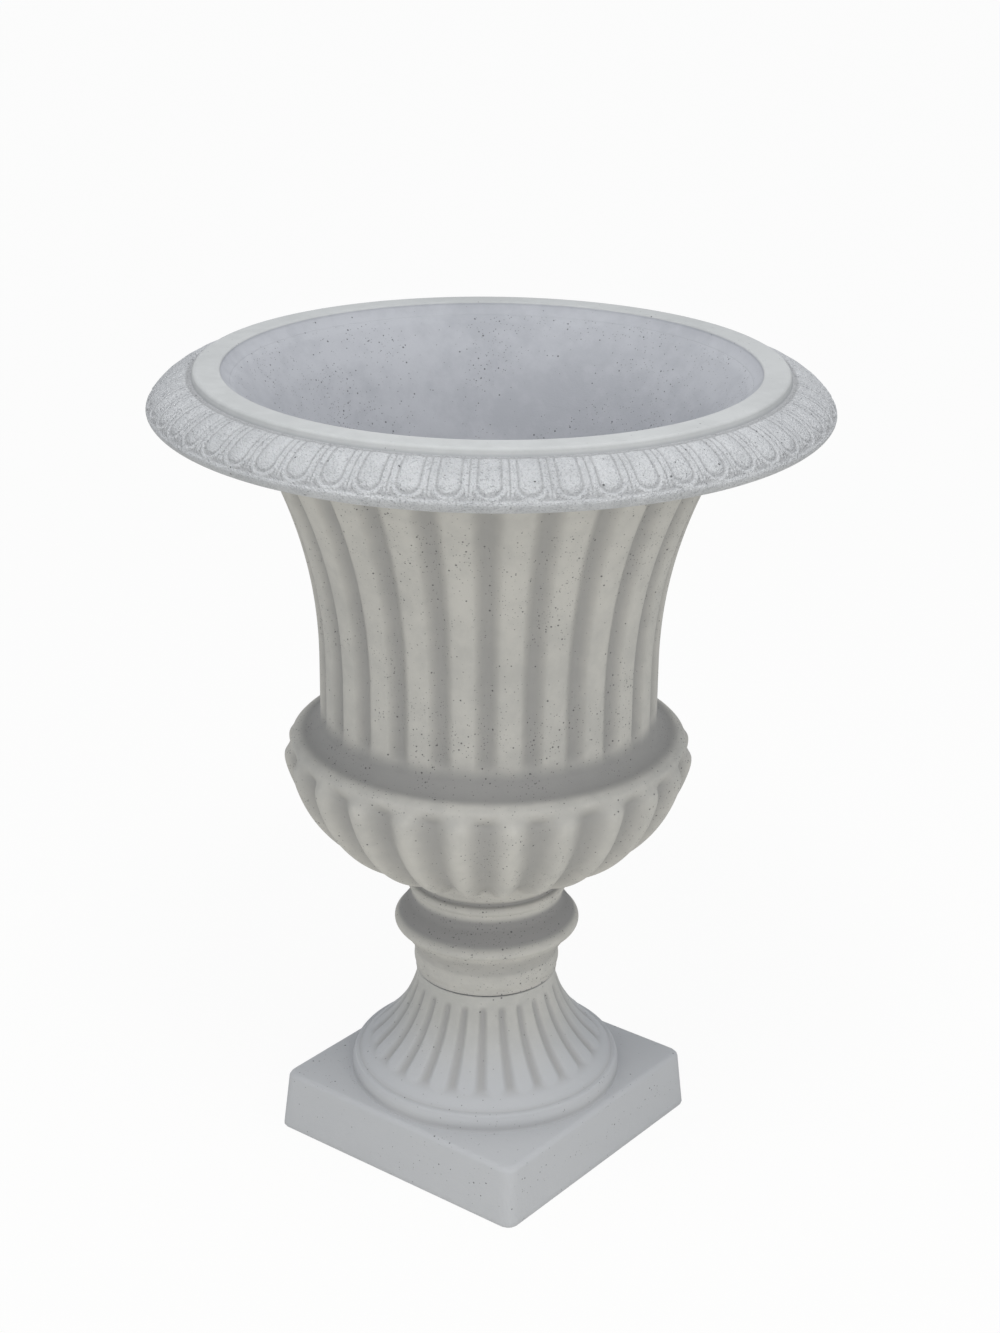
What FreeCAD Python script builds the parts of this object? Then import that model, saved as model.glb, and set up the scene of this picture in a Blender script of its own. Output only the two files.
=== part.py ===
"""A campana urn planter: a ribbed, gadrooned bowl on a trumpet foot with a square plinth.

The bowl and the pedestal are two castings. They meet at a thin ring low on the neck, and one
long bolt through the hollow stem pulls them together against a steel bar inside the pedestal.
The frame's origin is the centre of the plinth's underside, +Z is up, and X and Y run along the
plinth's sides. All lengths are in millimetres and all angles in degrees.
"""
import FreeCAD, Part
import math
import os

V = FreeCAD.Vector
UP = V(0, 0, 1)
ORIGIN = V(0, 0, 0)

# ---- plinth -------------------------------------------------------------------------------
PLINTH_WIDTH = 286.0            # across the underside
PLINTH_TOP_WIDTH = 277.0        # across the top face
PLINTH_HEIGHT = 59.0
PLINTH_CORNER = 8.0             # round on the four upright corners
PLINTH_TOP_ROUND = 4.0          # round on the top edges
PLINTH_ROUND_BANDS = 2          # flats that lay out that round

# ---- trumpet foot -------------------------------------------------------------------------
RING_RADIUS = 130.5             # foot ring, where it stands on the plinth
RING_TOP_RADIUS = 126.3         # its upper edge
RING_HEIGHT = 17.0
TRUMPET_HEIGHT = 83.0           # from the ring's top to the band under the joint
CONE_RUN = 23.5                 # width of the straight slope above the ring
CONE_RISE = 21.0                # height of that slope
TRUMPET_HOLLOW = 5.3            # how far the trumpet's curve dips inside its chord
BAND_RADIUS = 66.6              # plain band that carries the bowl
BAND_HEIGHT = 8.0
TRUMPET_BANDS = 3               # straight bands in the trumpet's curve
TONGUE_COUNT = 24               # raised tongues round the trumpet
TONGUE_FORM = ((-0.37, 0.0), (0.37, 0.0), (0.5, 1.0))
TONGUE_RELIEF = 2.2             # depth of the grooves between the tongues
TONGUE_FOOT = 13.0              # height of plain slope left under the tongues
TONGUE_TOP = 1.5                # height of plain slope left over them
TONGUE_TURN = -1.5              # how far the tongues stand off the plinth's diagonals

# ---- neck of the bowl ---------------------------------------------------------------------
GASKET_THICK = 1.5              # thin ring that shows as a dark line in the neck
GASKET_SET_BACK = 1.6           # how far its edge stands inside the band
COLLAR_RADIUS = 69.2            # plain convex collar above the joint
COLLAR_EDGE = 1.6               # how far the collar's two edges draw in
COLLAR_HEIGHT = 19.0
KNOP_RADIUS = 86.6              # widest point of the knop
KNOP_HEIGHT = 68.0              # from the collar to the groove's ring
KNOP_NOSE = 1.9                 # how far the knop's nose stands past its flanks
KNOP_NOSE_HEIGHT = 8.5
KNOP_COVE = 3.6                 # how far a flank stands out where its cove ends
KNOP_COVE_SHARE = 0.26          # part of the knop's height that a cove takes
KNOP_COVE_SAG = 1.0
NECK_PLAIN = 7.5                # straight neck left under the ring
NECK_RADIUS = 72.2              # plain neck above the knop
NECK_RING_SWELL = 3.3           # half-round ring above that neck
NECK_RING_HEIGHT = 9.0
NECK_GROOVE_HEIGHT = 3.5        # shadow groove between the ring and the bowl

# ---- gadrooned lower bowl -----------------------------------------------------------------
LOBE_FOOT_RADIUS = 92.0         # where the lobes begin, under the bowl
LOBE_FOOT_RISE = 18.5           # height of the plain cone from the neck to the lobes
BULGE_RADIUS = 188.0            # widest point of the lower bowl
BULGE_RISE = 103.5              # from the lobes' foot up to the widest point
BULGE_SAG = 18.2                # how far the lower bowl's curve swells past its chord
SHOULDER_RADIUS = 175.5         # crease round the top of the lower bowl
SHOULDER_RISE = 26.0            # from the widest point up to the crease
SHOULDER_SAG = 4.6
LOBE_COUNT = 24
LOBE_FORM = ((-0.34, 0.36), (-0.15, 0.0), (0.15, 0.0), (0.34, 0.36), (0.5, 1.0))
LOBE_RELIEF = 9.0               # depth of the valleys between the lobes
LOBE_STATIONS = (               # (share of the height, share of the relief), from the foot up
    (0.0, 0.0), (0.07, 0.6), (0.28, 0.95), (0.52, 1.0), (0.72, 0.75), (0.90, 0.0), (1.0, 0.0),
)

# ---- ribbed body --------------------------------------------------------------------------
LEDGE_RISE = 9.0                # from the crease up to the foot of the body
LEDGE_SAG = 3.4                 # hollow of the cove on the ledge
WAIST_RADIUS = 155.3            # over the ribs, at the narrowest
WAIST_RISE = 62.0               # from the body's foot up to the middle of the waist
BODY_RISE = 290.0               # from the body's foot up to the rim's underside
FLARE_RADIUS = 220.4            # over the ribs, at the rim's underside
FLARE_POWER = 2.12              # how late the body opens out
FLARE_BANDS = 4                 # straight bands in the body's flare
RIB_COUNT = 24
RIB_FORM = ((-0.28, 0.0), (0.28, 0.0), (0.42, 1.0), (0.58, 1.0))
RIB_RELIEF = 6.6                # depth of the grooves at the waist

# ---- rim ----------------------------------------------------------------------------------
RIM_RADIUS = 303.0
RIM_DEPTH = 45.0                # from the lip down to the rim's underside
ROLL_WIDTH = 17.0               # width of the round under the rim's edge
ROLL_SAG = 2.2                  # how far that round swells past its chord
EDGE_DROP = 34.0                # from the lip down to the rim's widest point
FRIEZE_RADIUS = 265.0           # inner edge of the carved ovolo
FRIEZE_DROP = 6.0               # from the lip down to that edge
OVOLO_SAG = 5.0                 # how far the ovolo swells past its chord
OVOLO_BANDS = 3                 # flats that lay out the ovolo
LIP_RADIUS = 260.2              # outer edge of the smooth lip
LIP_ROUND = 2.0                 # how far the lip draws in at its top
MOUTH_RADIUS = 236.5            # inner edge of the lip
MOUTH_STEP = 8.5                # how far the mouth draws in under the lip
MOUTH_STEP_DEPTH = 11.0

# ---- inside the bowl ----------------------------------------------------------------------
HOLLOW_SIDES = 48               # flats round the hollows, in place of a true circle
WALL = 11.0                     # wall behind the grooves of the body
WALL_BANDS = 3                  # straight bands in the wall's flare
FLOOR_THICK = 24.0              # from the lobes' foot up to the floor
FLOOR_RADIUS = 84.0             # flat part of the floor
HEEL_SAG = 12.0                 # round between the floor and the wall
HEEL_BANDS = 2                  # flats that lay out that round
WELL_RADIUS = 128.0             # inside radius at the level of the widest bulge
STEM_BORE = 40.0                # hollow of the stem, radius
STEM_CEILING = 20.0             # stone left between the stem's hollow and the bowl's floor
DRAIN_RADIUS = 6.0
DRAIN_COUNT = 3
DRAIN_REACH = 29.0              # from the axis to the middle of a drain

# ---- inside the pedestal ------------------------------------------------------------------
PLINTH_WALL = 24.0
PEDESTAL_WALL = 22.0
HOLLOW_BANDS = 2                # flats that lay out the curve of the hollow
SEAT_THICK = 18.0               # stone under the joint
SEAT_OPENING = 26.0             # radius of the opening that the water leaves by
SPIGOT_HEIGHT = 7.0             # ring on the pedestal that centres the bowl
SPIGOT_CLEARANCE = 1.5

# ---- bolt, washers and bar ----------------------------------------------------------------
BOLT_RADIUS = 6.0
BOLT_CLEARANCE = 0.75
BOLT_HEAD_FLATS = 19.0
BOLT_HEAD_HEIGHT = 7.5
BOLT_END = 9.0                  # bolt left below the nut
NUT_FLATS = 19.0
NUT_HEIGHT = 12.0
WASHER_RADIUS = 18.0
WASHER_THICK = 2.5
SEAL_RADIUS = 20.0
SEAL_THICK = 3.0
BAR_WASHER_RADIUS = 12.0
BAR_CLEARANCE = 1.0             # from the bar's corners to the stone of the hollow
BAR_WIDTH = 30.0
BAR_THICK = 6.0
BAR_CORNER = 4.0

SEAM = 0.4                      # step of a turned stretch inside the ribbed one that it meets
FLATNESS = 1e-6                 # how far four corners may stand off one plane
CUT_PAST = 2.0                  # how far a cut runs out past the stone's face

# ---- levels, from the ground up -----------------------------------------------------------
Z_PLINTH = PLINTH_HEIGHT
Z_RING = Z_PLINTH + RING_HEIGHT
Z_BAND = Z_RING + TRUMPET_HEIGHT
Z_TONGUES = Z_RING + TONGUE_FOOT
Z_TONGUE_TOPS = Z_BAND - TONGUE_TOP
Z_JOINT = Z_BAND + BAND_HEIGHT
Z_STEM = Z_JOINT + GASKET_THICK
Z_KNOP = Z_STEM + COLLAR_HEIGHT
Z_NECK_RING = Z_KNOP + KNOP_HEIGHT
Z_GROOVE = Z_NECK_RING + NECK_RING_HEIGHT
Z_CONE = Z_GROOVE + NECK_GROOVE_HEIGHT
Z_LOBES = Z_CONE + LOBE_FOOT_RISE
Z_BULGE = Z_LOBES + BULGE_RISE
Z_SHOULDER = Z_BULGE + SHOULDER_RISE
Z_BODY = Z_SHOULDER + LEDGE_RISE
Z_WAIST = Z_BODY + WAIST_RISE
Z_SOFFIT = Z_BODY + BODY_RISE
Z_LIP = Z_SOFFIT + RIM_DEPTH
Z_FLOOR = Z_LOBES + FLOOR_THICK
Z_CEILING = Z_FLOOR - STEM_CEILING
Z_SEAT = Z_JOINT - SEAT_THICK
SEAT_RADIUS = BAND_RADIUS - PEDESTAL_WALL
Z_HEAD = Z_FLOOR + SEAL_THICK + WASHER_THICK
Z_NUT = Z_SEAT - BAR_THICK - WASHER_THICK - NUT_HEIGHT
Z_BOLT_END = Z_NUT - BOLT_END


def arc_points(start, end, bulge, bands):
    """The ends of that many equal chords of an arc from start to end, as (radius, height). The
    arc swells to the right of its way by bulge."""
    a = V(start[0], 0, start[1])
    b = V(end[0], 0, end[1])
    way = (b - a).normalize()
    arc = Part.Arc(a, (a + b) * 0.5 + V(way.z, 0, -way.x) * bulge, b)
    return [start] + [(p.x, p.z) for p in arc.discretize(bands + 1)[1:-1]] + [end]


def turned(points):
    """The solid that an outline sweeps when it is turned once round the axis. Each point is
    (radius, height), or (radius, height, bulge, bands) where an arc laid out in flats ends."""
    corners = [points[0]]
    for point in points[1:]:
        if len(point) > 2:
            corners += arc_points(corners[-1], point[:2], point[2], point[3])[1:]
        else:
            corners.append(point)
    ring = [V(r, 0, z) for r, z in corners]
    return Part.Face(Part.makePolygon(ring + ring[:1])).revolve(ORIGIN, UP, 360)


def arc_radius(lower, upper, sag, z):
    """Radius at height z on the arc from lower to upper that swells outwards by sag. A sag
    below zero gives an arc that dips inwards."""
    (r0, z0), (r1, z1) = lower, upper
    length = math.hypot(r1 - r0, z1 - z0)
    radius = (length * length / 4 + sag * sag) / (2 * sag)
    out_r, out_z = (z1 - z0) / length, -(r1 - r0) / length
    centre_r = (r0 + r1) / 2 - out_r * (radius - sag)
    centre_z = (z0 + z1) / 2 - out_z * (radius - sag)
    reach = math.sqrt(max(radius ** 2 - (z - centre_z) ** 2, 0.0))
    return centre_r + math.copysign(reach, sag)


def polar(radius, degrees, z):
    angle = math.radians(degrees)
    return V(radius * math.cos(angle), radius * math.sin(angle), z)


def ribbed_ring(radius, relief, z, count, form, turn=0.0):
    """The corners of a level ring of ribs. The form gives the corners of one rib and the hollow
    after it, each as (share of a step from the rib's middle, share of the relief below its crest)."""
    step = 360.0 / count
    corners = []
    for k in range(count):
        corners += [polar(radius - relief * depth, turn + (k + share) * step, z) for share, depth in form]
    return corners


def flat_face(corners):
    return Part.Face(Part.makePolygon(corners + corners[:1]))


def faceted(rings):
    """The solid through a stack of level rings with as many corners each, in plane faces. Four
    corners that don't lie in one plane get two three-cornered faces."""
    faces = [flat_face(rings[0]), flat_face(rings[-1])]
    for low, high in zip(rings, rings[1:]):
        for k in range(len(low)):
            a, b, c, d = low[k - 1], low[k], high[k], high[k - 1]
            square_to = (b - a).cross(c - a).normalize()
            if abs((d - a).dot(square_to)) < FLATNESS:
                faces.append(flat_face([a, b, c, d]))
            else:
                faces += [flat_face([a, b, c]), flat_face([a, c, d])]
    return Part.makeSolid(Part.makeShell(faces))


def body_radius(z):
    """Radius over the ribs of the flaring body."""
    share = max((z - Z_WAIST) / (Z_SOFFIT - Z_WAIST), 0.0)
    return WAIST_RADIUS + (FLARE_RADIUS - WAIST_RADIUS) * share ** FLARE_POWER


def body_relief(z):
    """Depth of the body's grooves, which widen and deepen with the flare."""
    return RIB_RELIEF * body_radius(z) / WAIST_RADIUS


def lobe_radius(z):
    """Radius over the lobes of the lower bowl."""
    if z <= Z_BULGE:
        return arc_radius((LOBE_FOOT_RADIUS, Z_LOBES), (BULGE_RADIUS, Z_BULGE), BULGE_SAG, z)
    return arc_radius((BULGE_RADIUS, Z_BULGE), (SHOULDER_RADIUS, Z_SHOULDER), SHOULDER_SAG, z)


def trumpet_radius(z):
    """Radius of the trumpet foot over its tongues."""
    cone_top = Z_RING + CONE_RISE
    if z <= cone_top:
        return RING_TOP_RADIUS - CONE_RUN * (z - Z_RING) / CONE_RISE
    return arc_radius((RING_TOP_RADIUS - CONE_RUN, cone_top), (BAND_RADIUS, Z_BAND), -TRUMPET_HOLLOW, z)


# ---- bowl ---------------------------------------------------------------------------------
def neck():
    """The bowl's turned stem: collar, knop, ring and the plain cone under the lobes."""
    knop_middle = Z_KNOP + KNOP_HEIGHT / 2
    nose = KNOP_RADIUS - KNOP_NOSE
    return turned([
        (0, Z_STEM),
        (COLLAR_RADIUS - COLLAR_EDGE, Z_STEM),
        (COLLAR_RADIUS - COLLAR_EDGE / 2, Z_KNOP, COLLAR_EDGE, 2),
        (NECK_RADIUS + KNOP_COVE, Z_KNOP + KNOP_HEIGHT * KNOP_COVE_SHARE),
        (nose, knop_middle - KNOP_NOSE_HEIGHT / 2),
        (nose, knop_middle + KNOP_NOSE_HEIGHT / 2, KNOP_NOSE, 3),
        (NECK_RADIUS + KNOP_COVE, Z_NECK_RING - KNOP_HEIGHT * KNOP_COVE_SHARE),
        (NECK_RADIUS, Z_NECK_RING - NECK_PLAIN, -KNOP_COVE_SAG, 2),
        (NECK_RADIUS, Z_NECK_RING),
        (NECK_RADIUS, Z_GROOVE, NECK_RING_SWELL, 3),
        (NECK_RADIUS, Z_CONE),
        (LOBE_FOOT_RADIUS - SEAM, Z_LOBES),
        (0, Z_LOBES),
    ])


def lobed_bowl():
    """The gadrooned lower bowl: lobes that swell from the neck up to the plain shoulder."""
    height = Z_SHOULDER - Z_LOBES
    rings = []
    for share, depth in LOBE_STATIONS:
        z = Z_LOBES + height * share
        rings.append(ribbed_ring(lobe_radius(z), LOBE_RELIEF * depth, z, LOBE_COUNT, LOBE_FORM))
    return faceted(rings)


def ledge():
    """The ledge on top of the lower bowl, hollowed to a cove where the body rises from it."""
    return turned([
        (0, Z_SHOULDER),
        (SHOULDER_RADIUS - SEAM, Z_SHOULDER),
        (WAIST_RADIUS + SEAM, Z_BODY, -LEDGE_SAG, 2),
        (0, Z_BODY),
    ])


def ribbed_body():
    """The flaring body, with ribs from the ledge up to the rim."""
    levels = [Z_BODY]
    levels += [Z_WAIST + (Z_SOFFIT - Z_WAIST) * step / FLARE_BANDS for step in range(FLARE_BANDS + 1)]
    return faceted([ribbed_ring(body_radius(z), body_relief(z), z, RIB_COUNT, RIB_FORM) for z in levels])


def rim():
    """The overhanging rim: roll, ovolo and smooth lip."""
    widest = Z_LIP - EDGE_DROP
    return turned([
        (0, Z_SOFFIT),
        (RIM_RADIUS - ROLL_WIDTH, Z_SOFFIT),
        (RIM_RADIUS, widest, ROLL_SAG, 2),
        (FRIEZE_RADIUS, Z_LIP - FRIEZE_DROP, OVOLO_SAG, OVOLO_BANDS),
        (LIP_RADIUS, Z_LIP - FRIEZE_DROP),
        (LIP_RADIUS - LIP_ROUND, Z_LIP),
        (0, Z_LIP),
    ])


def hollow(levels):
    """A smooth hollow through (radius, height) levels."""
    return faceted([[polar(radius, 360.0 * k / HOLLOW_SIDES, z) for k in range(HOLLOW_SIDES)] for radius, z in levels])


def planting_space():
    """The smooth hollow of the bowl, which follows the body at an even wall."""
    wall = []
    for step in range(WALL_BANDS + 1):
        z = Z_SOFFIT - (Z_SOFFIT - Z_WAIST) * step / WALL_BANDS
        wall.append((body_radius(z) - body_relief(z) - WALL, z))
    heel = arc_points((WELL_RADIUS, Z_BULGE), (FLOOR_RADIUS, Z_FLOOR), -HEEL_SAG, HEEL_BANDS)
    return hollow([
        (MOUTH_RADIUS, Z_LIP + CUT_PAST),
        (MOUTH_RADIUS, Z_LIP),
        (MOUTH_RADIUS - MOUTH_STEP, Z_LIP - MOUTH_STEP_DEPTH),
    ] + wall + heel)


def bowl():
    body = neck().fuse([lobed_bowl(), ledge(), ribbed_body(), rim()])
    cuts = [
        planting_space(),
        Part.makeCylinder(STEM_BORE, Z_CEILING - Z_STEM, V(0, 0, Z_STEM)),
        Part.makeCylinder(BOLT_RADIUS + BOLT_CLEARANCE, STEM_CEILING, V(0, 0, Z_CEILING)),
    ]
    for k in range(DRAIN_COUNT):
        centre = polar(DRAIN_REACH, k * 360 / DRAIN_COUNT, Z_CEILING)
        cuts.append(Part.makeCylinder(DRAIN_RADIUS, STEM_CEILING, centre))
    return body.cut(cuts)


# ---- pedestal -----------------------------------------------------------------------------
def square_wire(width, corner, z):
    """A level square with rounded corners."""
    half = width / 2
    flat = half - corner
    edges = []
    for quarter in range(4):
        turn = FreeCAD.Rotation(UP, quarter * 90)
        a = turn.multVec(V(half, -flat, z))
        b = turn.multVec(V(half, flat, z))
        c = turn.multVec(V(flat, flat, z) + polar(corner, 45, 0))
        d = turn.multVec(V(flat, half, z))
        edges.append(Part.LineSegment(a, b).toShape())
        edges.append(Part.Arc(b, c, d).toShape())
    return Part.Wire(edges)


def plinth():
    """The tapered square block, with its top edges rounded off."""
    wires = [square_wire(PLINTH_WIDTH, PLINTH_CORNER, 0)]
    for step in range(PLINTH_ROUND_BANDS + 1):
        angle = math.pi / 2 * step / PLINTH_ROUND_BANDS
        width = PLINTH_TOP_WIDTH - 2 * PLINTH_TOP_ROUND * (1 - math.cos(angle))
        wires.append(square_wire(width, PLINTH_CORNER, Z_PLINTH - PLINTH_TOP_ROUND * (1 - math.sin(angle))))
    return Part.makeLoft(wires, True, True)


def tongue_ring(radius, relief, z):
    return ribbed_ring(radius, relief, z, TONGUE_COUNT, TONGUE_FORM, TONGUE_TURN)


def plain_foot():
    """The foot ring and the plain slope above it, up to where the tongues begin."""
    return faceted([
        tongue_ring(RING_RADIUS, 0.0, Z_PLINTH),
        tongue_ring(RING_TOP_RADIUS, 0.0, Z_RING),
        tongue_ring(trumpet_radius(Z_TONGUES), 0.0, Z_TONGUES),
    ])


def tongued_trumpet():
    """The trumpet foot, with raised tongues between shallow grooves."""
    rings = []
    for step in range(TRUMPET_BANDS + 1):
        z = Z_TONGUES + (Z_TONGUE_TOPS - Z_TONGUES) * step / TRUMPET_BANDS
        rings.append(tongue_ring(trumpet_radius(z), TONGUE_RELIEF, z))
    return faceted(rings)


def pedestal_hollow():
    """The hollow under the trumpet, at an even wall behind the cone and the curve."""
    slope = math.hypot(CONE_RUN, CONE_RISE)
    in_r = PEDESTAL_WALL * CONE_RISE / slope
    in_z = PEDESTAL_WALL * CONE_RUN / slope
    cone_top = (RING_TOP_RADIUS - CONE_RUN - in_r, Z_RING + CONE_RISE - in_z)
    trumpet = arc_points(cone_top, (SEAT_RADIUS, Z_SEAT), -TRUMPET_HOLLOW, HOLLOW_BANDS)
    return hollow([
        (RING_TOP_RADIUS - in_r, Z_PLINTH - PLINTH_WALL - CUT_PAST),
        (RING_TOP_RADIUS - in_r, Z_RING - in_z),
    ] + trumpet)


def pedestal():
    """Plinth, foot ring, trumpet and band in one casting, with a ring on top for the bowl."""
    band = turned([
        (0, Z_TONGUE_TOPS),
        (trumpet_radius(Z_TONGUE_TOPS) - SEAM, Z_TONGUE_TOPS),
        (BAND_RADIUS, Z_BAND),
        (BAND_RADIUS, Z_JOINT),
        (0, Z_JOINT),
    ])
    spigot = Part.makeCylinder(STEM_BORE - SPIGOT_CLEARANCE, SPIGOT_HEIGHT, V(0, 0, Z_JOINT))
    slab_under = Z_PLINTH - PLINTH_WALL
    narrowing = (PLINTH_WIDTH - PLINTH_TOP_WIDTH) * slab_under / Z_PLINTH
    under = Part.makeLoft([
        square_wire(PLINTH_WIDTH - 2 * PLINTH_WALL, PLINTH_CORNER, 0),
        square_wire(PLINTH_WIDTH - 2 * PLINTH_WALL - narrowing, PLINTH_CORNER, slab_under),
    ], True, True)
    opening = Part.makeCylinder(SEAT_OPENING, SEAT_THICK + SPIGOT_HEIGHT + CUT_PAST, V(0, 0, Z_SEAT - CUT_PAST))
    return plinth().fuse([plain_foot(), tongued_trumpet(), band, spigot]).cut([under, pedestal_hollow(), opening])


# ---- what joins them ----------------------------------------------------------------------
def joint_gasket():
    outer = Part.makeCylinder(BAND_RADIUS - GASKET_SET_BACK, GASKET_THICK, V(0, 0, Z_JOINT))
    return outer.cut(Part.makeCylinder(STEM_BORE, GASKET_THICK, V(0, 0, Z_JOINT)))


def ring_washer(radius, thick, z):
    """A flat washer that the bolt passes with its usual clearance."""
    disc = Part.makeCylinder(radius, thick, V(0, 0, z))
    return disc.cut(Part.makeCylinder(BOLT_RADIUS + BOLT_CLEARANCE, thick, V(0, 0, z)))


def sealing_washer():
    return ring_washer(SEAL_RADIUS, SEAL_THICK, Z_FLOOR)


def bowl_washer():
    return ring_washer(WASHER_RADIUS, WASHER_THICK, Z_FLOOR + SEAL_THICK)


def hexagon(flats, height, z):
    """A six-sided prism on the axis, by its width across flats."""
    corners = [polar(flats / 2 / math.cos(math.pi / 6), 60 * k, z) for k in range(7)]
    return Part.Face(Part.makePolygon(corners)).extrude(V(0, 0, height))


def tie_bolt():
    head = hexagon(BOLT_HEAD_FLATS, BOLT_HEAD_HEIGHT, Z_HEAD)
    shank = Part.makeCylinder(BOLT_RADIUS, Z_HEAD - Z_BOLT_END, V(0, 0, Z_BOLT_END))
    return head.fuse(shank)


def cross_bar():
    """The flat steel bar under the pedestal's seat, with its corners rounded."""
    reach = SEAT_RADIUS - BAR_CLEARANCE
    half = math.sqrt(reach ** 2 - (BAR_WIDTH / 2) ** 2)
    bar = Part.makeBox(2 * half, BAR_WIDTH, BAR_THICK, V(-half, -BAR_WIDTH / 2, Z_SEAT - BAR_THICK))
    upright = [e for e in bar.Edges if abs(e.Vertexes[0].Z - e.Vertexes[1].Z) > BAR_THICK / 2]
    bar = bar.makeFillet(BAR_CORNER, upright)
    return bar.cut(Part.makeCylinder(BOLT_RADIUS + BOLT_CLEARANCE, BAR_THICK, V(0, 0, Z_SEAT - BAR_THICK)))


def bar_washer():
    return ring_washer(BAR_WASHER_RADIUS, WASHER_THICK, Z_SEAT - BAR_THICK - WASHER_THICK)


def lock_nut():
    body = hexagon(NUT_FLATS, NUT_HEIGHT, Z_NUT)
    return body.cut(Part.makeCylinder(BOLT_RADIUS, NUT_HEIGHT, V(0, 0, Z_NUT)))


PARTS = {
    "bowl": bowl,
    "pedestal": pedestal,
    "joint_gasket": joint_gasket,
    "sealing_washer": sealing_washer,
    "bowl_washer": bowl_washer,
    "tie_bolt": tie_bolt,
    "cross_bar": cross_bar,
    "bar_washer": bar_washer,
    "lock_nut": lock_nut,
}

os.makedirs("parts", exist_ok=True)
for name, make in PARTS.items():
    solid = make()
    solid.exportStep("parts/" + name + ".step")
    print(name, len(solid.Solids), "solid" if solid.isValid() else "NOT VALID", round(solid.Volume / 1e6, 3), "litres")
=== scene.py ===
"""The looks of the urn planter: cast stone bowl and pedestal, carved rim, gasket and tie bolt.

Everything is in metres in the object's own frame: the origin is the centre of the plinth's
underside, +Z is up, and X and Y run along the plinth's sides. Sizes are named in millimetres.
"""
import bmesh
import bpy
import math
from mathutils import Matrix, Vector


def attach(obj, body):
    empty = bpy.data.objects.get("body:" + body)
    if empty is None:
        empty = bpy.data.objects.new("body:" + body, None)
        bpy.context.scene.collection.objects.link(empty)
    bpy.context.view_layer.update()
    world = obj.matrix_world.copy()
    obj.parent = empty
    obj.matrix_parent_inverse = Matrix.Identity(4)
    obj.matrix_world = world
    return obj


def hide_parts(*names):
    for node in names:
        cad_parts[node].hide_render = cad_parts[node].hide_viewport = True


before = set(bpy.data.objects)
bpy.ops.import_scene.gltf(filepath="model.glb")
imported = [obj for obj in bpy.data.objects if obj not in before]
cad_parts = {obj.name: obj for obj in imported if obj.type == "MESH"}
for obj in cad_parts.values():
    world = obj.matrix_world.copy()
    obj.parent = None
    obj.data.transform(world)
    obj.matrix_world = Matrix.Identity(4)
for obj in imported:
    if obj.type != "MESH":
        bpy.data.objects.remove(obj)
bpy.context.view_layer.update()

MM = 0.001

# ---- sizes, in millimetres ----------------------------------------------------------------
PLINTH_WIDTH, PLINTH_TOP_WIDTH, PLINTH_HEIGHT = 286.0, 277.0, 59.0
PLINTH_CORNER, PLINTH_TOP_ROUND, PLINTH_WALL, PLINTH_SLAB = 10.0, 5.5, 24.0, 24.0
PLINTH_INNER_CORNER, PLINTH_FOOT_EASE, PEDESTAL_WALL = 6.0, 1.5, 22.0
RING_RADIUS, RING_TOP_RADIUS, RING_HEIGHT = 130.5, 126.3, 17.0
CONE_RUN, CONE_RISE = 23.5, 21.0
TRUMPET_HEIGHT, TRUMPET_HOLLOW = 83.0, 5.3
BAND_RADIUS, BAND_HEIGHT = 66.6, 8.0
TONGUE_COUNT, TONGUE_TURN = 24, -1.5
TONGUE_FOOT, TONGUE_TOP = 9.0, 1.5
GASKET_THICK = 1.5
NECK_RADIUS = 72.2
LOBE_FOOT_RADIUS, BULGE_RADIUS, SHOULDER_RADIUS = 92.0, 188.0, 175.5
BULGE_SAG, SHOULDER_SAG = 18.2, 4.6
LOBE_COUNT, LOBE_RELIEF, LOBE_DOME, LOBE_FOOT_FADE = 24, 10.5, 15.0, 16.0
WAIST_RADIUS, FLARE_RADIUS, FLARE_POWER = 155.3, 220.4, 2.12
RIB_COUNT, RIB_RELIEF, RIB_FADE = 24, 6.6, 22.0
COVE_HEIGHT, SHOULDER_BAND = 6.0, 9.0
RIM_RADIUS, SOFFIT_EDGE = 303.0, 286.0
FRIEZE_RADIUS, LIP_RADIUS, MOUTH_RADIUS, THROAT_RADIUS = 265.0, 260.2, 236.5, 228.0
EGG_COUNT, EGG_TURN, FRIEZE_REACH = 58, -52.05, 50.0
EGG_PITCH = 31.4            # width of one egg's step on the rim, with its border and dart
EGG_LENGTH = 32.0           # from the lip's foot to the middle of the egg's round end
EGG_PAD, EGG_BORDER, EGG_DART = 9.4, 11.6, 14.3     # half widths of the pad, its border and the darts
WALL, FLOOR_RADIUS, WELL_RADIUS, HEEL_SAG = 11.0, 84.0, 128.0, 12.0
STEM_BORE, SPIGOT_RADIUS, SEAT_OPENING = 40.0, 38.5, 26.0
DRAIN_COUNT, DRAIN_RADIUS, DRAIN_CIRCLE, BOLT_HOLE = 3, 6.0, 29.0, 6.75

Z_RING = PLINTH_HEIGHT + RING_HEIGHT
Z_CONE_TOP = Z_RING + CONE_RISE
Z_BAND = Z_RING + TRUMPET_HEIGHT
Z_JOINT = Z_BAND + BAND_HEIGHT
Z_SEAT = 149.0
Z_SPIGOT = Z_JOINT + 7.0
Z_STEM = Z_JOINT + GASKET_THICK
Z_KNOP, Z_NECK_RING = 187.5, 255.5
Z_GROOVE, Z_CONE, Z_LOBES = 264.5, 268.0, 286.5
Z_CEILING, Z_FLOOR = 290.5, 310.5
Z_BULGE, Z_SHOULDER, Z_BODY = 390.0, 416.0, 425.0
Z_WAIST, Z_SOFFIT = 487.0, 715.0
Z_EDGE, Z_FRIEZE, Z_LIP = 726.0, 754.0, 760.0
Z_THROAT, Z_LIP_BACK = 749.0, 742.0


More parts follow.
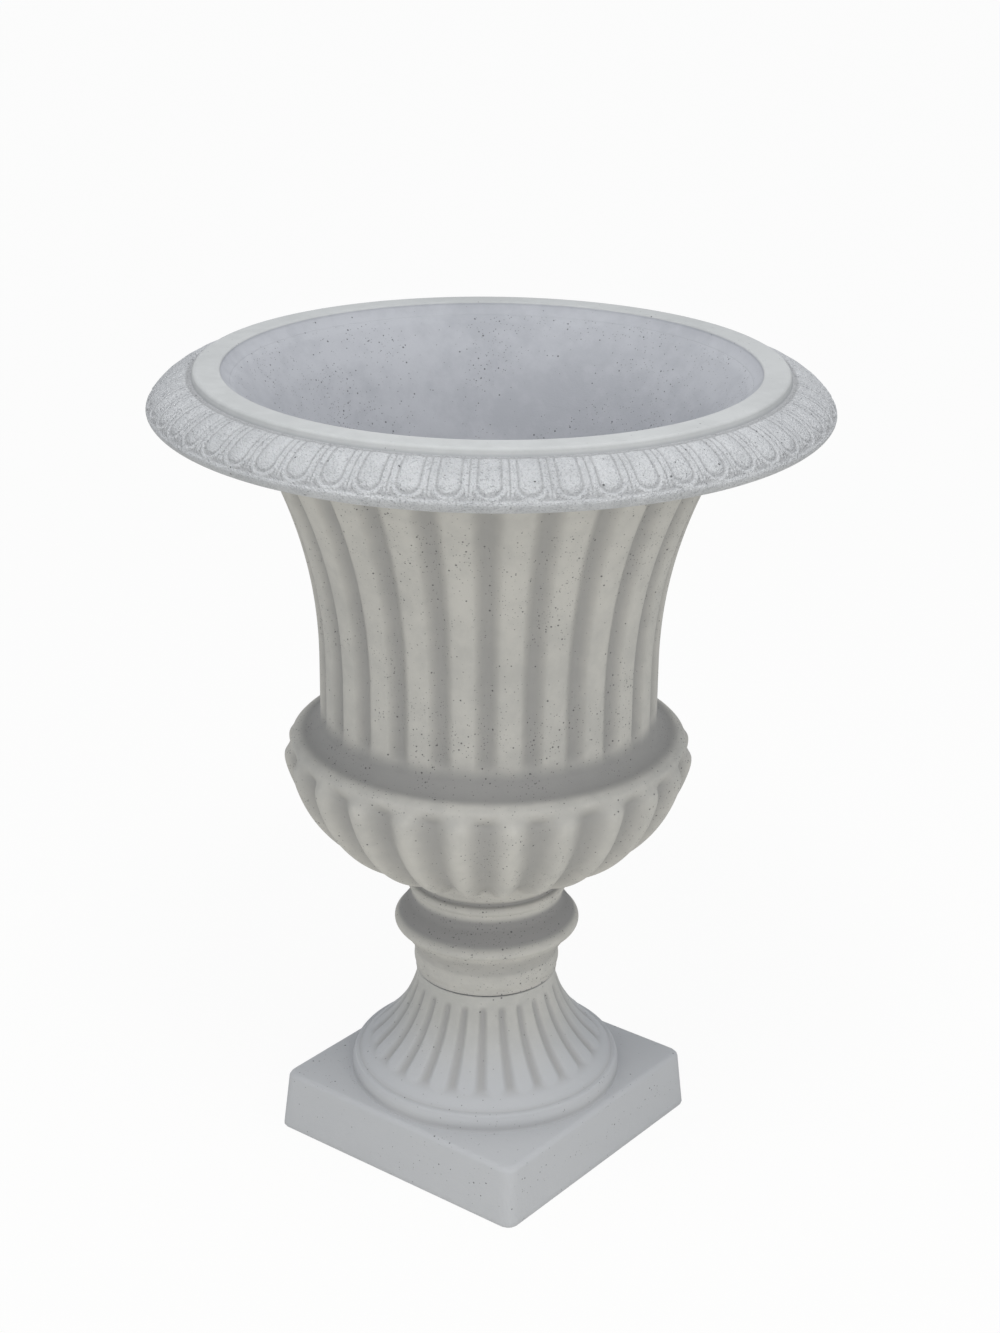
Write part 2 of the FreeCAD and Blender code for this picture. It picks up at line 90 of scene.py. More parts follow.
# ---- curves of the outline ----------------------------------------------------------------
def smooth(low, high, x):
    """0 up to low, 1 from high on, and an even ease between."""
    t = min(max((x - low) / (high - low), 0.0), 1.0)
    return t * t * (3.0 - 2.0 * t)


def ridge(distance, half_width):
    """1 on the line, 0 at half_width from it, round on top."""
    return max(0.0, 1.0 - (distance / half_width) ** 2)


def arc(start, end, bulge, steps):
    """Points from start to end, without start, on an arc that swells right of its way."""
    (r0, z0), (r1, z1) = start, end
    length = math.hypot(r1 - r0, z1 - z0)
    if abs(bulge) < 1e-6:
        return [(r0 + (r1 - r0) * k / steps, z0 + (z1 - z0) * k / steps) for k in range(1, steps + 1)]
    right = ((z1 - z0) / length, -(r1 - r0) / length)
    radius = (length * length / 4 + bulge * bulge) / (2 * bulge)
    centre = ((r0 + r1) / 2 - right[0] * (radius - bulge), (z0 + z1) / 2 - right[1] * (radius - bulge))
    first = math.atan2(z0 - centre[1], r0 - centre[0])
    last = math.atan2(z1 - centre[1], r1 - centre[0])
    sweep = (last - first + math.pi) % (2 * math.pi) - math.pi
    points = []
    for k in range(1, steps + 1):
        a = first + sweep * k / steps
        points.append((centre[0] + abs(radius) * math.cos(a), centre[1] + abs(radius) * math.sin(a)))
    return points


def path(start, *legs):
    """An outline from start through legs of (radius, height, bulge, steps)."""
    points = [start]
    for r, z, bulge, steps in legs:
        points += arc(points[-1], (r, z), bulge, steps)
    return points


def softened(points, rounds):
    """The outline with its corners eased: each round moves inner points towards neighbours."""
    for _ in range(rounds):
        eased = [points[0]]
        for a, b, c in zip(points, points[1:], points[2:]):
            eased.append(((a[0] + 2 * b[0] + c[0]) / 4, (a[1] + 2 * b[1] + c[1]) / 4))
        points = eased + [points[-1]]
    return points


def normals(points):
    """For each point of an outline that climbs the outside, the way straight out of it."""
    out = []
    for k in range(len(points)):
        a, b = points[max(k - 1, 0)], points[min(k + 1, len(points) - 1)]
        length = math.hypot(b[0] - a[0], b[1] - a[1]) or 1.0
        out.append(((b[1] - a[1]) / length, -(b[0] - a[0]) / length))
    return out


# ---- carved sectors and the rings that they make ------------------------------------------
def mark(mesh, name, values):
    mesh.attributes.new(name, "FLOAT", "POINT").data.foreach_set("value", values)


def sector_mesh(name, count, across, rows, inner):
    """One step of a ring as a mesh. rows is a closed outline, counter-clockwise in (r, z); each
    row is (radius, height, way out, carve), where carve(share) gives how far the surface stands
    out there and how much painted shade it gets, as in a groove or a shadowed band, for shares
    of the step from -0.5 to 0.5. The rows from inner on are the inside of a hollow."""
    verts, groove, lined = [], [], []
    step = 2 * math.pi / count
    for k, (radius, z, out, carve) in enumerate(rows):
        lined += [1.0 if k >= inner else 0.0] * (across + 1)
        for j in range(across + 1):
            share = j / across - 0.5
            lift, depth = carve(share) if carve else (0.0, 0.0)
            r = radius + out[0] * lift
            a = share * step
            verts.append((r * math.cos(a) * MM, r * math.sin(a) * MM, (z + out[1] * lift) * MM))
            groove.append(depth)
    faces = []
    wide = across + 1
    for i in range(len(rows)):
        low, high = i * wide, ((i + 1) % len(rows)) * wide
        faces += [(low + j, low + j + 1, high + j + 1, high + j) for j in range(across)]
    mesh = bpy.data.meshes.new(name)
    mesh.from_pydata(verts, [], faces)
    # The groove attribute holds how much painted shade each point gets.
    mark(mesh, "groove", groove)
    mark(mesh, "lined", lined)
    mesh.polygons.foreach_set("use_smooth", [True] * len(mesh.polygons))
    return mesh


def ring_tree():
    """A tree that repeats a sector round the axis and welds the steps into one ring."""
    tree = bpy.data.node_groups.new("ring of sectors", "GeometryNodeTree")
    face = tree.interface
    face.new_socket("Sector", in_out="INPUT", socket_type="NodeSocketGeometry")
    face.new_socket("Count", in_out="INPUT", socket_type="NodeSocketInt")
    face.new_socket("Turn", in_out="INPUT", socket_type="NodeSocketFloat")
    face.new_socket("Weld", in_out="INPUT", socket_type="NodeSocketFloat")
    face.new_socket("Finish", in_out="INPUT", socket_type="NodeSocketMaterial")
    face.new_socket("Ring", in_out="OUTPUT", socket_type="NodeSocketGeometry")
    nodes, link = tree.nodes, tree.links.new
    given, result = nodes.new("NodeGroupInput"), nodes.new("NodeGroupOutput")
    points = nodes.new("GeometryNodePoints")
    index = nodes.new("GeometryNodeInputIndex")
    step = nodes.new("ShaderNodeMath")
    step.operation = "DIVIDE"
    step.inputs[0].default_value = 2 * math.pi
    angle = nodes.new("ShaderNodeMath")
    angle.operation = "MULTIPLY_ADD"
    spin = nodes.new("ShaderNodeCombineXYZ")
    copies = nodes.new("GeometryNodeInstanceOnPoints")
    real = nodes.new("GeometryNodeRealizeInstances")
    weld = nodes.new("GeometryNodeMergeByDistance")
    finish = nodes.new("GeometryNodeSetMaterial")
    link(given.outputs["Count"], points.inputs["Count"])
    link(given.outputs["Count"], step.inputs[1])
    link(index.outputs[0], angle.inputs[0])
    link(step.outputs[0], angle.inputs[1])
    link(given.outputs["Turn"], angle.inputs[2])
    link(angle.outputs[0], spin.inputs["Z"])
    link(points.outputs[0], copies.inputs["Points"])
    link(given.outputs["Sector"], copies.inputs["Instance"])
    link(spin.outputs[0], copies.inputs["Rotation"])
    link(copies.outputs[0], real.inputs[0])
    link(real.outputs[0], weld.inputs["Geometry"])
    link(given.outputs["Weld"], weld.inputs["Distance"])
    link(weld.outputs[0], finish.inputs["Geometry"])
    link(given.outputs["Finish"], finish.inputs["Material"])
    link(finish.outputs[0], result.inputs[0])
    return tree


RING = ring_tree()


def applied(holder, name, tree, values):
    """The plain mesh that a tree of nodes makes of the holder's mesh."""
    modifier = holder.modifiers.new("shape", "NODES")
    modifier.node_group = tree
    for item in tree.interface.items_tree:
        if item.item_type == "SOCKET" and item.in_out == "INPUT" and item.name in values:
            modifier[item.identifier] = values[item.name]
    shaped = holder.evaluated_get(bpy.context.evaluated_depsgraph_get())
    mesh = bpy.data.meshes.new_from_object(shaped)
    mesh.name = name
    holder.modifiers.clear()
    bpy.data.objects.remove(holder)
    piece = bpy.data.objects.new(name, mesh)
    bpy.context.scene.collection.objects.link(piece)
    return piece


def ring_piece(name, count, across, rows, turn, material, slot, *stands_for, inner=10000):
    """A finished ring of carved sectors that stands for CAD nodes."""
    holder = bpy.data.objects.new(name + "_sector", sector_mesh(name, count, across, rows, inner))
    bpy.context.scene.collection.objects.link(holder)
    values = {"Count": count, "Turn": math.radians(turn), "Weld": 0.02 * MM, "Finish": material}
    piece = applied(holder, name, RING, values)
    settle(piece, slot, *stands_for)
    return piece


def settle(piece, slot, *stands_for):
    """Attach a piece to the root body and hide the CAD nodes that it stands for."""
    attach(piece, "root")
    if stands_for:
        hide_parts(*stands_for)


def plain_rows(points):
    """Turned rows without carving or shade."""
    return [(r, z, (0.0, 0.0), None) for r, z in points]


def shaded_rows(points, depth_at):
    """Turned rows given painted shade, as in a hollow, by depth_at(height)."""
    rows = []
    for r, z in points:
        rows.append((r, z, (0.0, 0.0), lambda share, depth=depth_at(z): (0.0, depth)))
    return rows


# ---- forms of the carving -----------------------------------------------------------------
def rib_depth(share):
    """Hollow between two ribs: a crowned rib, then a round-bottomed groove."""
    side = abs(share)
    return 0.20 * min(side / 0.30, 1.0) ** 2 + 0.80 * smooth(0.20, 0.47, side)


def lobe_depth(share):
    """Valley beside a lobe, for shares of half the step: a round lobe and a wide soft valley."""
    return ((1 - math.cos(math.pi * min(share, 1.0))) / 2) ** 1.05


def body_radius(z):
    """Radius over the ribs: straight up to the waist, then a flare that opens late."""
    if z <= Z_WAIST:
        return WAIST_RADIUS
    rise = (z - Z_WAIST) / (Z_SOFFIT - Z_WAIST)
    return WAIST_RADIUS + (FLARE_RADIUS - WAIST_RADIUS) * rise ** FLARE_POWER


def body_relief(z):
    """Depth of the grooves between the ribs, from nothing at the ledge."""
    rise = min(max((z - Z_BODY - 2.0) / RIB_FADE, 0.0), 1.0)
    return RIB_RELIEF * math.sin(rise * math.pi / 2) * body_radius(z) / WAIST_RADIUS


def wall_radius(z):
    """Inside of the bowl's wall, at an even distance behind the grooves."""
    return body_radius(z) - RIB_RELIEF * body_radius(z) / WAIST_RADIUS - WALL


# ---- bowl ---------------------------------------------------------------------------------
def lobe_carve(down, radius, foot):
    """Lobes at a distance down the bulge from their domed tops, in millimetres."""
    half = math.pi * radius / LOBE_COUNT

    def carve(share):
        aside = 2 * abs(share) * half
        off = math.hypot(aside, 0.85 * max(0.0, LOBE_DOME - down))
        valley = lobe_depth(off / half)
        opening = smooth(-2.0, 0.85 * LOBE_DOME, down)
        deep = LOBE_RELIEF * (radius / BULGE_RADIUS) ** 0.7 * valley * opening * foot
        # The second value is painted shade in the valleys between the lobes.
        return 0.8 * opening * (1.0 - valley) - deep, 0.88 * deep / LOBE_RELIEF
    return carve


def bowl_body_rows():
    """Lobed bowl, ledge and ribbed body outside, the planting space inside."""
    lobes = path((LOBE_FOOT_RADIUS, Z_LOBES), (BULGE_RADIUS, Z_BULGE, BULGE_SAG, 46),
                 (SHOULDER_RADIUS, Z_SHOULDER, SHOULDER_SAG, 14))
    start = Z_BODY + COVE_HEIGHT
    cove = path((SHOULDER_RADIUS, Z_SHOULDER), (WAIST_RADIUS + 0.2, start, -4.6, 12))
    outline = softened(lobes + cove[1:], 5)
    rows = []
    ups = [0.0]
    for a, b in zip(outline, outline[1:]):
        ups.append(ups[-1] + math.dist(a, b))
    shoulder = ups[len(lobes) - 1]
    dome_top = shoulder - SHOULDER_BAND
    for up, (r, z), out in list(zip(ups, outline, normals(outline)))[:-1]:
        if up < dome_top:
            rows.append((r, z, out, lobe_carve(dome_top - up, r, smooth(0.0, LOBE_FOOT_FADE, up))))
        else:
            # Painted shade deepening down into the ledge's cove, which the rim shades.
            shade = smooth(shoulder - 3.0, shoulder + 7.0, up)
            rows.append((r, z, (0.0, 0.0), lambda share, shade=shade: (0.0, shade)))
    heights = [start + RIB_FADE * k / 7 for k in range(8)]
    heights += [start + RIB_FADE + (Z_SOFFIT - start - RIB_FADE) * k / 33 for k in range(1, 34)]
    for z in heights:
        relief = body_relief(z)
        # Painted shade of the ledge, fading out up the body.
        shade = 1.0 - smooth(start - 4.0, start + 16.0, z)
        rows.append((body_radius(z), z, (1.0, 0.0), rib_carve(relief, shade)))
    inner = len(rows)
    inside = [(THROAT_RADIUS + 12.0, Z_LIP_BACK), (THROAT_RADIUS + 3.0, Z_THROAT),
              (THROAT_RADIUS, Z_THROAT)]
    inside += path((THROAT_RADIUS, Z_THROAT), (wall_radius(Z_SOFFIT), Z_SOFFIT, 0.0, 5))[1:]
    levels = [Z_SOFFIT - (Z_SOFFIT - Z_WAIST) * k / 14 for k in range(1, 15)]
    inside += [(wall_radius(z), z) for z in levels]
    inside += path((wall_radius(Z_WAIST), Z_WAIST), (WELL_RADIUS, Z_BULGE, 0.0, 5),
                   (FLOOR_RADIUS, Z_FLOOR, -HEEL_SAG, 9))[1:]
    inside += [(STEM_BORE, Z_FLOOR), (STEM_BORE, Z_CEILING), (60.0, Z_CEILING - 1.0)]
    return rows + plain_rows(inside), inner


def rib_carve(relief, shade):
    """Ribs of a given relief, with painted shade in the grooves and at least the painted shade of the
    ledge below them.
    """
    def carve(share):
        deep = rib_depth(share)
        return -relief * deep, max(shade, 0.85 * deep * min(1.0, relief / RIB_RELIEF))
    return carve


def neck_shade(z):
    """Painted shade bands of the stem: above the knop, where the bowl shades it, under its nose, in the
    groove and at the foot.
    """
    above = smooth(224.0, 229.0, z) * (1.0 - smooth(246.0, 253.0, z))
    under = smooth(187.0, 191.0, z) * (1.0 - smooth(205.0, 213.0, z))
    groove = smooth(262.5, 265.0, z) * (1.0 - smooth(268.0, 271.0, z))
    foot = 1.0 - smooth(169.0, 171.0, z)
    return max(1.25 * above, 0.45 * under, groove, 0.3 * foot)


def neck_rows():
    """The turned stem, from the joint up to the cone under the lobes."""
    outside = path(
        (STEM_BORE, Z_STEM),
        (66.6, Z_STEM, 0.0, 3), (67.6, Z_STEM + 1.2, 0.45, 4),
        (67.0, Z_STEM + 4.0, -0.3, 4), (68.6, Z_KNOP - 3.0, 1.2, 9), (68.0, Z_KNOP + 0.6, 0.5, 5),
        (75.6, 204.0, -1.4, 10), (84.2, 215.4, -0.5, 7),
        (84.7, 225.75, 3.4, 12), (75.8, 237.8, 0.3, 7),
        (NECK_RADIUS, 248.0, -1.2, 9), (NECK_RADIUS, Z_NECK_RING - 0.3, 0.0, 4),
        (NECK_RADIUS + 0.2, Z_GROOVE, 3.6, 14), (NECK_RADIUS - 0.6, Z_CONE - 1.0, -0.6, 5),
        (LOBE_FOOT_RADIUS - 0.4, Z_LOBES, -0.6, 8), (LOBE_FOOT_RADIUS + 6.0, Z_LOBES + 4.0, 0.0, 1),
        (STEM_BORE, Z_LOBES + 4.0, 0.0, 2), (STEM_BORE, Z_STEM + 2.0, 0.0, 6))
    return shaded_rows(softened(outside, 1), neck_shade)


def off_line(aside, below):
    """Distance from a line that ends at below = 0: beside it, then round its end."""
    return math.hypot(aside, below) if below > 0 else aside


def frieze_carve(along):
    """Egg carving at a distance along the rim's face from the lip's foot, in millimetres."""
    def carve(share):
        aside = abs(share * EGG_PITCH)
        off = off_line(aside, along - EGG_LENGTH)
        pad_off = off_line(aside, along - (EGG_LENGTH - 2.0))
        start = smooth(0.5, 3.0, along)
        egg = 1.0 - (pad_off / EGG_PAD) ** 3 if pad_off < EGG_PAD else 0.0
        edge = ridge(abs(off - EGG_BORDER), 2.1)
        dart_end = 1.0 - smooth(EGG_LENGTH + 5.0, EGG_LENGTH + 13.0, along)
        line = ridge(abs(aside - EGG_DART), 1.5) * dart_end
        plain = smooth(EGG_LENGTH + EGG_BORDER - 0.5, EGG_LENGTH + EGG_BORDER + 4.0, along)
        lift = start * max(1.5 * egg, 1.3 * edge, 1.1 * line)
        lift = lift * (1.0 - plain) + 1.15 * plain
        # hollow is painted shade in the hollows of the egg carving.
        hollow = (1.0 - smooth(0.10, 0.75, lift)) * (1.0 - plain)
        return lift - 1.3, hollow
    return carve


def rim_rows():
    """The carved rim: soffit, roll and frieze, closed behind the lip."""
    roll = path((SOFFIT_EDGE, Z_SOFFIT), (RIM_RADIUS + 0.5, Z_EDGE, 3.0, 9))
    face = path((RIM_RADIUS + 0.5, Z_EDGE), (FRIEZE_RADIUS, Z_FRIEZE, 5.2, 42))
    outline = softened(roll + face[1:], 14)
    total = sum(math.dist(a, b) for a, b in zip(outline, outline[1:]))
    rows = plain_rows([(212.0, Z_SOFFIT), (250.0, Z_SOFFIT)])
    done = 0.0
    for k, ((r, z), out) in enumerate(zip(outline, normals(outline))):
        if k:
            done += math.dist(outline[k - 1], outline[k])
        if total - done > FRIEZE_REACH:
            rows.append((r, z, out, lambda share: (-0.15, 0.0)))
        else:
            rows.append((r, z, out, frieze_carve(total - done)))
    return rows + plain_rows([(258.0, Z_FRIEZE), (240.0, Z_FRIEZE - 4.0)])


def lip_rows():
    """The smooth lip and the mouth inside it."""
    outside = path(
        (265.0, Z_FRIEZE - 2.2), (262.0, Z_FRIEZE - 0.8, -0.7, 5),
        (LIP_RADIUS + 0.6, Z_LIP - 3.4, -0.1, 4), (LIP_RADIUS - 3.6, Z_LIP, 1.35, 9),
        (MOUTH_RADIUS + 2.2, Z_LIP, 0.0, 5), (MOUTH_RADIUS, Z_LIP - 2.4, 0.8, 6),
        (THROAT_RADIUS + 0.3, Z_THROAT + 0.4, -0.5, 8), (THROAT_RADIUS, Z_THROAT - 0.6, 0.1, 2),
        (THROAT_RADIUS + 9.0, Z_LIP_BACK, 0.0, 2), (LIP_RADIUS - 2.2, Z_LIP_BACK, 0.0, 2))
    outside = [(r, min(z, Z_LIP)) for r, z in outside]
    inner = next(k for k, (r, z) in enumerate(outside) if r < MOUTH_RADIUS and k > 0)
    # Painted shade at the foot of the lip's outside, where it meets the frieze.
    rim_side = shaded_rows(outside[:inner], lambda z: 1.0 - smooth(Z_FRIEZE - 0.5, Z_FRIEZE + 2.5, z))
    return rim_side + plain_rows(outside[inner:]), inner


# ---- pedestal -----------------------------------------------------------------------------
def tongue_carve(along, length, radius):
    """Tongues of the trumpet at a distance down its face from their tops, in millimetres."""
    pitch = 2 * math.pi * radius / TONGUE_COUNT

    def carve(share):
        aside = abs(share) * pitch
        half = 0.40 * pitch
        off = off_line(aside, along - (length - half))
        top = smooth(0.0, 6.0, along)
        fade = 1.0 - smooth(length - 1.1 * half, length + 3.0, along)
        deep = smooth(half - 0.18 * pitch, half + 0.08 * pitch, off) * top * fade
        crown = 0.5 * (1.0 - min(off / half, 1.0) ** 2) * top
        # deep also gives the painted shade in the channels between the tongues.
        return crown - 2.6 * deep - 0.2, deep
    return carve


def foot_rows():
    """Foot ring, slope, tongued trumpet and band, hollow inside."""
    slope = math.hypot(CONE_RUN, CONE_RISE)
    ring = path((RING_RADIUS + 0.6, PLINTH_HEIGHT - 1.0),
                (RING_RADIUS - 1.2, PLINTH_HEIGHT + 2.6, -0.5, 5),
                (RING_TOP_RADIUS + 1.6, Z_RING - 3.2, 0.9, 10),
                (RING_TOP_RADIUS - 1.4, Z_RING - 0.2, 0.9, 6),
                (RING_TOP_RADIUS - 3.6, Z_RING - 0.1, 0.0, 2))
    face = path((RING_TOP_RADIUS - 3.6, Z_RING - 0.1), (RING_TOP_RADIUS - CONE_RUN, Z_CONE_TOP, 0.0, 20),
                (BAND_RADIUS, Z_BAND, -TRUMPET_HOLLOW, 44))
    face = softened(face, 2)
    total = sum(math.dist(a, b) for a, b in zip(face, face[1:]))
    length = total - TONGUE_FOOT * slope / CONE_RISE - TONGUE_TOP
    # Painted shade, darker towards the ring's foot where it meets the plinth.
    rows = shaded_rows(ring[:-1], lambda z: 0.5 * (1.0 - smooth(PLINTH_HEIGHT, Z_RING - 2.0, z)))
    done = 0.0
    for k, ((r, z), out) in enumerate(zip(face, normals(face))):
        if k:
            done += math.dist(face[k - 1], face[k])
        down = total - done - TONGUE_TOP
        if down < 0.0:
            rows.append((r, z, out, None))
        # The first rows of the slope get a painted shade line in the crease at the ring's top.
        elif k < 3:
            rows.append((r, z, out, lambda share, shade=0.45 - 0.15 * k: (0.0, shade)))
        else:
            rows.append((r, z, out, tongue_carve(down, length, r)))
    in_r = PEDESTAL_WALL * CONE_RISE / slope
    in_z = PEDESTAL_WALL * CONE_RUN / slope
    inner = len(rows) + 8
    rest = path((BAND_RADIUS, Z_BAND + 0.5), (BAND_RADIUS, Z_JOINT - 0.9, 0.25, 5),
                (BAND_RADIUS - 1.0, Z_JOINT, 0.3, 3),
                (SPIGOT_RADIUS, Z_JOINT, 0.0, 3), (SPIGOT_RADIUS, Z_SPIGOT - 1.0, 0.0, 2),
                (SPIGOT_RADIUS - 1.0, Z_SPIGOT, 0.3, 2), (SEAT_OPENING, Z_SPIGOT, 0.0, 2),
                (SEAT_OPENING, Z_SEAT, 0.0, 3), (BAND_RADIUS - PEDESTAL_WALL, Z_SEAT, 0.0, 2),
                (RING_TOP_RADIUS - CONE_RUN - in_r, Z_CONE_TOP - in_z, TRUMPET_HOLLOW, 10),
                (RING_TOP_RADIUS - in_r, Z_RING - in_z, 0.0, 3),
                (RING_TOP_RADIUS - in_r, PLINTH_HEIGHT - 1.0, 0.0, 1))
    return rows + plain_rows(rest), inner


def plinth():
    """The tapered square block: eased edges, hollow below, open under the trumpet."""
    around, side_steps, round_steps = 288, 12, 7
    ease = PLINTH_FOOT_EASE
    side_top = PLINTH_HEIGHT - PLINTH_TOP_ROUND

    def width_at(z):
        return PLINTH_WIDTH + (PLINTH_TOP_WIDTH - PLINTH_WIDTH) * z / side_top

    def inner_width_at(z):
        return width_at(z) - 2 * PLINTH_WALL
    levels = [(inner_width_at(0), PLINTH_INNER_CORNER, 0.8),
              (inner_width_at(0) + 1.6, PLINTH_INNER_CORNER + 0.5, 0.0),
              (width_at(0) - 2 * ease, PLINTH_CORNER, 0.0),
              (width_at(0) - 0.6 * ease, PLINTH_CORNER, 0.4),
              (width_at(ease), PLINTH_CORNER, ease)]
    for k in range(1, side_steps + 1):
        z = ease + (side_top - ease) * k / side_steps
        levels.append((width_at(z), PLINTH_CORNER, z))
    for k in range(1, round_steps + 1):
        a = math.pi / 2 * k / round_steps
        levels.append((PLINTH_TOP_WIDTH - 2 * PLINTH_TOP_ROUND * (1 - math.cos(a)), PLINTH_CORNER,
                       PLINTH_HEIGHT - PLINTH_TOP_ROUND * (1 - math.sin(a))))
    verts = []

    def square_ring(width, corner, z):
        half = width / 2
        for k in range(around):
            a = 2 * math.pi * (k + 0.5) / around
            c, s = math.cos(a), math.sin(a)
            reach = half / max(abs(c), abs(s))
            x, y = reach * c, reach * s
            inner = half - corner
            if abs(x) > inner and abs(y) > inner:
                cx, cy = math.copysign(inner, x), math.copysign(inner, y)
                away = math.hypot(x - cx, y - cy)
                x, y = cx + (x - cx) * corner / away, cy + (y - cy) * corner / away
            verts.append((x * MM, y * MM, z * MM))

    def round_ring(radius, z):
        for k in range(around):
            a = 2 * math.pi * (k + 0.5) / around
            verts.append((radius * math.cos(a) * MM, radius * math.sin(a) * MM, z * MM))
    for width, corner, z in levels:
        square_ring(width, corner, z)
    hole = RING_TOP_RADIUS - PEDESTAL_WALL * CONE_RISE / math.hypot(CONE_RUN, CONE_RISE)
    slab = PLINTH_HEIGHT - PLINTH_SLAB
    round_ring(RING_RADIUS - 1.0, PLINTH_HEIGHT)
    round_ring(hole, PLINTH_HEIGHT)
    round_ring(hole, slab)
    square_ring(inner_width_at(slab), PLINTH_INNER_CORNER, slab)
    count = len(verts) // around
    faces = []
    for i in range(count):
        low, high = i * around, ((i + 1) % count) * around
        for j in range(around):
            n = (j + 1) % around
            faces.append((low + j, low + n, high + n, high + j))
    mesh = bpy.data.meshes.new("plinth")
    mesh.from_pydata(verts, [], faces)
    mark(mesh, "groove", [0.0] * len(verts))
    mark(mesh, "lined", [0.0] * len(verts))
    mesh.polygons.foreach_set("use_smooth", [True] * len(faces))
    mesh.set_sharp_from_angle(angle=math.radians(40))
    piece = bpy.data.objects.new("plinth_block", mesh)
    bpy.context.scene.collection.objects.link(piece)
    mesh.materials.append(PEDESTAL_STONE)
    settle(piece, "pedestal_stone", "pedestal")
    return piece


# ---- floor of the bowl --------------------------------------------------------------------
def bowl_floor():
    """The disc in the middle of the bowl's floor, with the bolt's hole and the drains."""
    edge_points, hole_points = 96, 24
    work = bmesh.new()

    def loop(cx, cy, radius, count, z):
        turns = [2 * math.pi * k / count for k in range(count)]
        places = [(cx + radius * math.cos(a), cy + radius * math.sin(a)) for a in turns]
        return [work.verts.new((x * MM, y * MM, z * MM)) for x, y in places]

    holes = [(0.0, 0.0, BOLT_HOLE)]
    for k in range(DRAIN_COUNT):
        a = 2 * math.pi * k / DRAIN_COUNT
        holes.append((DRAIN_CIRCLE * math.cos(a), DRAIN_CIRCLE * math.sin(a), DRAIN_RADIUS))
    sheets = {}
    for z in (Z_CEILING, Z_FLOOR):
        loops = [loop(0.0, 0.0, STEM_BORE + 0.05, edge_points, z)]
        loops += [loop(x, y, r, hole_points, z) for x, y, r in holes]
        edges = []
        for verts in loops:
            edges += [work.edges.new((verts[k], verts[(k + 1) % len(verts)])) for k in range(len(verts))]
        facing = (0, 0, 1 if z == Z_FLOOR else -1)
        bmesh.ops.triangle_fill(work, use_beauty=True, edges=edges, normal=facing)
        sheets[z] = loops
    for low, high in zip(sheets[Z_CEILING], sheets[Z_FLOOR]):
        for k in range(len(low)):
            n = (k + 1) % len(low)
            work.faces.new((low[k], low[n], high[n], high[k]))
    bmesh.ops.recalc_face_normals(work, faces=work.faces)
    mesh = bpy.data.meshes.new("bowl_floor")
    work.to_mesh(mesh)
    work.free()
    mark(mesh, "groove", [0.0] * len(mesh.vertices))
    mark(mesh, "lined", [1.0] * len(mesh.vertices))
    piece = bpy.data.objects.new("bowl_floor", mesh)
    bpy.context.scene.collection.objects.link(piece)
    mesh.materials.append(BOWL_STONE)
    settle(piece, "bowl_stone", "bowl")
    return piece


# ---- finishes -----------------------------------------------------------------------------
class Shop:
    """Short hands for adding nodes to one tree."""

    def __init__(self, tree):
        self.tree = tree

    def add(self, kind, **settings):
        node = self.tree.nodes.new(kind)
        for key, value in settings.items():
            setattr(node, key, value)
        return node

    def link(self, a, b):
        self.tree.links.new(a, b)

    def feed(self, socket, value):
        if isinstance(value, bpy.types.NodeSocket):
            self.tree.links.new(value, socket)
        elif value is not None:
            socket.default_value = value

    def math(self, operation, a, b=None, c=None, clamp=False):
        node = self.add("ShaderNodeMath", operation=operation, use_clamp=clamp)
        for socket, value in zip(node.inputs, (a, b, c)):
            self.feed(socket, value)
        return node.outputs[0]

    def noise(self, where, scale, detail=3.0, roughness=0.5):
        node = self.add("ShaderNodeTexNoise")
        self.feed(node.inputs["Vector"], where)
        self.feed(node.inputs["Scale"], scale)
        node.inputs["Detail"].default_value = detail
        node.inputs["Roughness"].default_value = roughness
        return node.outputs["Fac"]

    def cells(self, where, scale):
        node = self.add("ShaderNodeTexVoronoi", feature="F1")
        self.feed(node.inputs["Vector"], where)
        self.feed(node.inputs["Scale"], scale)
        node.inputs["Randomness"].default_value = 1.0
        return node.outputs["Distance"], node.outputs["Color"]

    def spread(self, value, low, high, out_low=0.0, out_high=1.0):
        node = self.add("ShaderNodeMapRange", interpolation_type="SMOOTHSTEP")
        self.feed(node.inputs["Value"], value)
        node.inputs["From Min"].default_value = low
        node.inputs["From Max"].default_value = high
        node.inputs["To Min"].default_value = out_low
        node.inputs["To Max"].default_value = out_high
        return node.outputs["Result"]

    def mix(self, share, a, b):
        node = self.add("ShaderNodeMix", data_type="RGBA")
        self.feed(node.inputs["Factor"], share)
        self.feed(node.inputs[6], a)
        self.feed(node.inputs[7], b)
        return node.outputs[2]


def colour(r, g, b):
    return (r, g, b, 1.0)


def group(name, inputs, outputs):
    """An empty shader group with named sockets, and its group input and output nodes."""
    tree = bpy.data.node_groups.new(name, "ShaderNodeTree")
    for label, kind, value in inputs:
        socket = tree.interface.new_socket(label, in_out="INPUT", socket_type=kind)
        if value is not None:
            socket.default_value = value
    for label, kind in outputs:
        tree.interface.new_socket(label, in_out="OUTPUT", socket_type=kind)
    shop = Shop(tree)
    return tree, shop, shop.add("NodeGroupInput"), shop.add("NodeGroupOutput")


